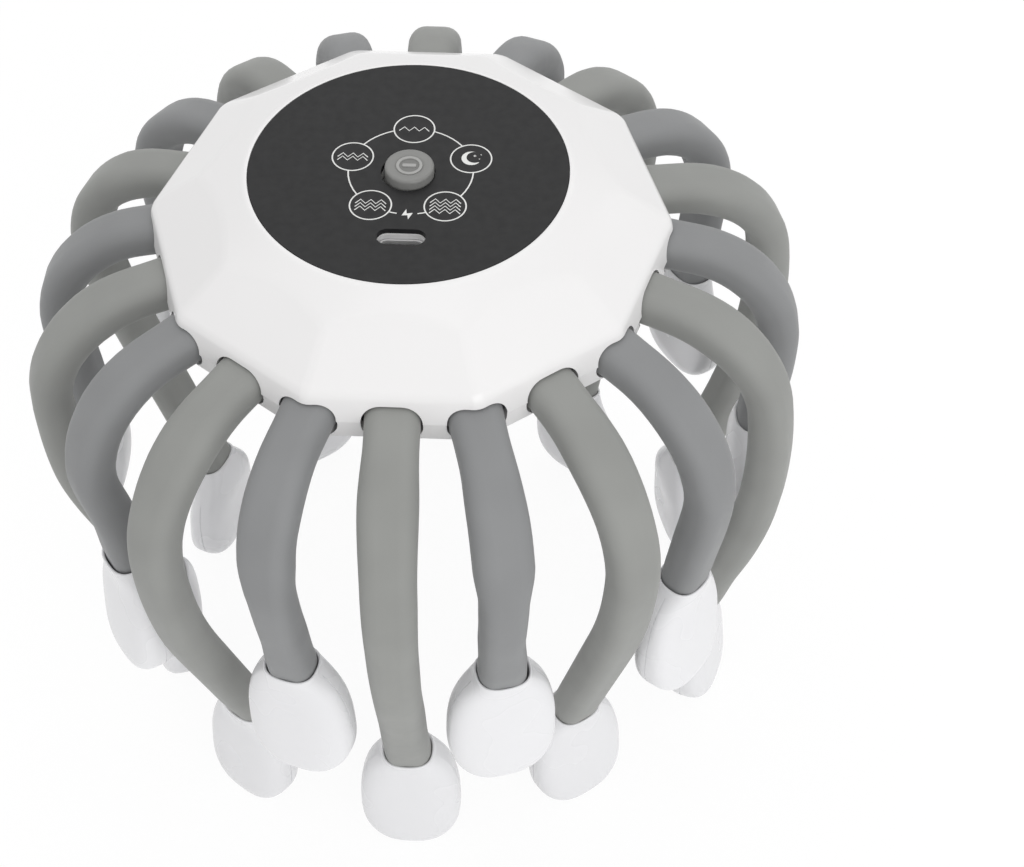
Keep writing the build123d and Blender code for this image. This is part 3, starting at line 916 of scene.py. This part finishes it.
def groove(piece):
    """Opens the marked edges to a narrow strip and sinks it; gives the number of faces in its floor."""
    open_piece(piece, "EDGE")
    pick(piece, "edges", lambda e: e.seam)
    bpy.ops.mesh.bevel(offset=seam_width / 2, segments=1)
    bpy.ops.mesh.select_mode(type="FACE")
    strip = sum(f.select for f in bmesh.from_edit_mesh(piece.data).faces)
    bpy.ops.mesh.extrude_region_shrink_fatten(TRANSFORM_OT_shrink_fatten={"value": -seam_depth})
    close_piece()
    return strip


# %% Draw one pad of each kind
masters = {}
for kind, lean in (("long", long_values[3]), ("short", short_values[3])):
    masters[kind] = draw_pad(lean)
    print(kind, "pad:", len(masters[kind].data.polygons), "faces, groove of", groove(masters[kind]), "faces")

# %% One pad on each arm
lowest = []
for index in range(arm_count):
    kind, number = kind_of(index), index // 2 + 1
    pad = copy_piece(masters[kind], f"Pad_skin_{kind}_{number}")
    put(pad, placed(index, arm_sway[index]) @ Matrix.Translation(necks[index]))
    pad.data.materials.append(pad_white)
    smooth(pad, 35)
    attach(pad, f"{kind}_arm_{number}")
    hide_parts(f"{kind}_pad_{number}")
    lowest.append(round(min(v.co.z for v in pad.data.vertices) / mm, 1))
for master in masters.values():
    bpy.data.objects.remove(master)
print("pads end from", min(lowest), "to", max(lowest), "mm over the floor")

# %% [markdown]
# ## Printed icons
# Five round icons sit on a ring round the button, for the four strengths and the night programme, with a small
# bolt over the charging slot. They are pad-printed, so each line is a curve with a round profile, made a mesh
# and pressed flat until it is only a film of ink on the panel.

# %% Places of the icons on the panel, in millimetres from the hub's axis
ring_centre = Vector((0.5, -0.5))
ring_radius = 12.45
icon_radius = 4.1
line_width = 0.29
wave_width = 0.23
ink_height = 0.03
icon_angles = [90.9 + 72 * k for k in range(5)]


def on_panel(x, y):
    return Vector((x, y, 0))


def round_stroke(centre, radius, start=0.0, end=360.0):
    """Points along an arc of a circle."""
    count = max(4, round(abs(end - start) / 6))
    angles = [math.radians(start + (end - start) * k / count) for k in range(count + 1)]
    return [on_panel(centre.x + radius * math.cos(a), centre.y + radius * math.sin(a)) for a in angles]


def printed(name, strokes, thickness, **settings):
    """Draws strokes as curves of a thickness, makes them a mesh and presses it on the panel as a film of ink."""
    data = bpy.data.curves.new(name, "CURVE")
    for key, value in settings.items():
        setattr(data, key, value)
    for stroke in strokes:
        spline = data.splines.new("POLY")
        closed = (stroke[0] - stroke[-1]).length < 1e-6
        places = stroke[:-1] if closed else stroke
        spline.points.add(len(places) - 1)
        for point, place in zip(spline.points, places):
            point.co = (*place, 1)
        spline.use_cyclic_u = closed
    drawing = bpy.data.objects.new(name, data)
    bpy.context.scene.collection.objects.link(drawing)
    take(drawing)
    bpy.ops.object.convert(target="MESH")
    piece = bpy.context.active_object
    pressed = Matrix.Diagonal((1, 1, 2 * ink_height / thickness, 1))
    put(piece, in_place @ pressed)
    piece.data.materials.clear()
    piece.data.materials.append(ink_pale)
    smooth(piece, 60)
    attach(piece, "hub")


def print_lines(name, strokes, width):
    """Prints a set of lines."""
    printed(name, strokes, width, dimensions="3D", bevel_depth=width / 2, bevel_resolution=2, use_fill_caps=True)


def icon_centre(k):
    a = math.radians(icon_angles[k])
    return ring_centre + ring_radius * Vector((math.cos(a), math.sin(a)))


def wave(centre, peaks=3, width=6.07, height=1.15):
    """Zigzag stroke that starts low and has a few peaks."""
    count = 2 * peaks + 1
    return [on_panel(centre.x + width * (k / (count - 1) - 0.5), centre.y + height * ((k % 2) - 0.5))
            for k in range(count)]


strengths = 4                  # each has one more row of waves
row_step = 0.98
for k in range(strengths):
    middle = icon_centre(k)
    print_lines(f"Icon_ring_{k + 1}", [round_stroke(middle, icon_radius)], line_width)
    strokes = [wave(middle + Vector((0, row_step * (k / 2 - row)))) for row in range(k + 1)]
    print_lines(f"Icon_waves_{k + 1}", strokes, wave_width)
print_lines("Icon_ring_5", [round_stroke(icon_centre(4), icon_radius)], line_width)

half_icon = math.degrees(2 * math.asin((icon_radius + line_width / 2) / (2 * ring_radius)))
links = [(0, 1), (1, 2), (3, 4), (4, 5)]
arcs = [round_stroke(ring_centre, ring_radius, icon_angles[a] + half_icon,
                     (icon_angles[b] if b < 5 else icon_angles[0] + 360) - half_icon) for a, b in links]
dash = 7.0
for start in (icon_angles[2] + half_icon, icon_angles[3] - half_icon - dash):
    arcs.append(round_stroke(ring_centre, ring_radius, start, start + dash))
print_lines("Icon_links", arcs, line_width)
print("icons of", strengths + 1, "programmes printed")

# %% [markdown]
# ## Moon, stars and bolt
# These are filled shapes and not lines. Each is a flat closed curve with a little thickness, which is made a
# mesh and pressed on the panel as the lines are.

# %% Print the filled shapes
shape_extrude = 0.2


def print_shapes(name, outlines):
    """Prints filled outlines."""
    closed = [outline + outline[:1] for outline in outlines]
    printed(name, closed, 2 * shape_extrude, dimensions="2D", fill_mode="BOTH", extrude=shape_extrude)


def star(x, y, reach):
    """Four-pointed star."""
    return [on_panel(x + r * math.cos(math.radians(45 * k)), y + r * math.sin(math.radians(45 * k)))
            for k, r in enumerate((reach, reach * 0.35) * 4)]


moon_middle = icon_centre(4) + Vector((0.05, 0.1))
moon_outer = round_stroke(moon_middle, 1.98, 72, 322)
moon_inner = round_stroke(moon_middle + Vector((0.62, 0.3)), 1.62, 305, 88)
print_shapes("Icon_moon", [moon_outer + moon_inner])
print_shapes("Icon_stars", [star(moon_middle.x + 0.65, moon_middle.y + 0.72, 0.38),
                            star(moon_middle.x + 1.6, moon_middle.y - 0.16, 0.2),
                            star(moon_middle.x + 1.9, moon_middle.y + 1.1, 0.2)])
bolt = [(0.45, -11.6), (-0.35, -13.4), (0.78, -13.28), (0.98, -14.45), (1.8, -12.62), (0.62, -12.84)]
print_shapes("Icon_bolt", [[on_panel(*corner) for corner in bolt]])

# %% [markdown]
# ## Power button
# The button is a soft grey cap with a shallow dish, in which the standby ring and its bar stand up a little. It
# is round, so it is drawn out from one circle like turned work, from the flange under the roof to the dish.

# %% Turn the cap
button_middle = Vector((0.3, -1.0, 0))
button_points = 72
recess_height = 1.74
recess_rim = 0.2
bar_middle, bar_size = 1.83, (2.75, 0.85, 0.34)
bar_corner, bar_edge = 0.2, 0.08
# radius and height over the panel: flange, side, rounded rim, dish, symbol ring, inner dish
cap_profile = [(3.0, -4.15), (6.0, -4.15), (6.3, -4.0), (6.3, -3.5), (6.1, -3.38), (5.05, -3.36), (4.95, -3.1),
               (4.95, -1.0), (4.95, 1.2), (4.91, 1.5), (4.8, 1.74), (4.62, 1.9), (4.4, 1.98), (4.1, 2.0),
               (3.8, 1.97), (3.2, 1.9), (2.8, 1.86), (2.68, 1.76), (2.0, 1.72), (1.0, 1.7)]
ring_profile = [(1.98, 1.6), (2.62, 1.6), (2.64, 1.9), (2.6, 1.97), (2.5, 2.0), (2.14, 2.0), (2.03, 1.96),
                (1.98, 1.88)]


def first_circle(name, radius, height, fill="NOTHING"):
    """A circle at a height, opened for editing with all of it picked."""
    clear_selection()
    bpy.ops.mesh.primitive_circle_add(vertices=button_points, radius=radius, fill_type=fill,
                                      location=(0, 0, height))
    piece = added(name)
    open_piece(piece, "EDGE")
    bpy.ops.mesh.select_all(action="SELECT")
    return piece


def draw_through(profile):
    """Draws the picked circle out through radii and heights, in millimetres."""
    for (near, low), (wide, high) in zip(profile, profile[1:]):
        bpy.ops.mesh.extrude_edges_move(TRANSFORM_OT_translate={"value": (0, 0, high - low)})
        bpy.ops.transform.resize(value=(wide / near, wide / near, 1), center_override=(0, 0, high))


def face_outwards():
    bpy.ops.mesh.select_all(action="SELECT")
    bpy.ops.mesh.normals_make_consistent(inside=False)


def press_on(piece, finish, angle):
    """Places a piece of the button, in millimetres over the panel, and lets it move with the button."""
    put(piece, in_place @ Matrix.Translation(button_middle))
    piece.data.materials.append(finish)
    smooth(piece, angle)
    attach(piece, "button")


cap = first_circle("Button_cap", *cap_profile[0])
bpy.ops.mesh.edge_face_add()
pick(cap, "edges", lambda e: True)
draw_through(cap_profile)
bpy.ops.mesh.edge_face_add()
face_outwards()
close_piece()
press_on(cap, button_grey, 40)
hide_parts("power_button")
print("button cap:", len(cap.data.polygons), "faces")

# %% [markdown]
# ## Standby symbol
# The symbol is felt as well as seen: a raised ring with a short bar in it. Their paler grey is a painted
# highlight, for the light that the raised relief catches. The ring is drawn round its own section and closed on
# itself, and the bar is a block with its upright and top edges rounded.

# %% Add the floor of the symbol and its ring
# the floor of the dish is darker grey, painted shade of the recess
recess = first_circle("Button_recess", ring_profile[0][0], recess_height, "NGON")
bpy.ops.mesh.inset(thickness=recess_rim)
close_piece()
press_on(recess, button_painted_shade, 40)
symbol = first_circle("Button_ring", *ring_profile[0])
draw_through(ring_profile + ring_profile[:1])
bpy.ops.mesh.select_all(action="SELECT")
bpy.ops.mesh.remove_doubles(threshold=0.001)
face_outwards()
close_piece()
# the ring gets the paler grey, a painted highlight
press_on(symbol, button_painted_highlight, 40)
print("symbol ring:", len(symbol.data.polygons), "faces")

# %% Add the bar of the symbol
clear_selection()
bpy.ops.mesh.primitive_cube_add(size=1, location=(0, 0, bar_middle), scale=bar_size)
bar = added("Button_bar")
open_piece(bar, "EDGE")
pick(bar, "edges", lambda e: abs(e.verts[0].co.z - e.verts[1].co.z) > 0.1)
bpy.ops.mesh.bevel(offset=bar_corner, segments=4, clamp_overlap=True)
bpy.ops.mesh.select_mode(type="FACE")
pick(bar, "faces", lambda f: f.normal.z > 0.9)
bpy.ops.mesh.bevel(offset=bar_edge, segments=2)
close_piece()
# the bar gets the paler grey too, a painted highlight
press_on(bar, button_painted_highlight, 40)
print("symbol bar:", len(bar.data.polygons), "faces")
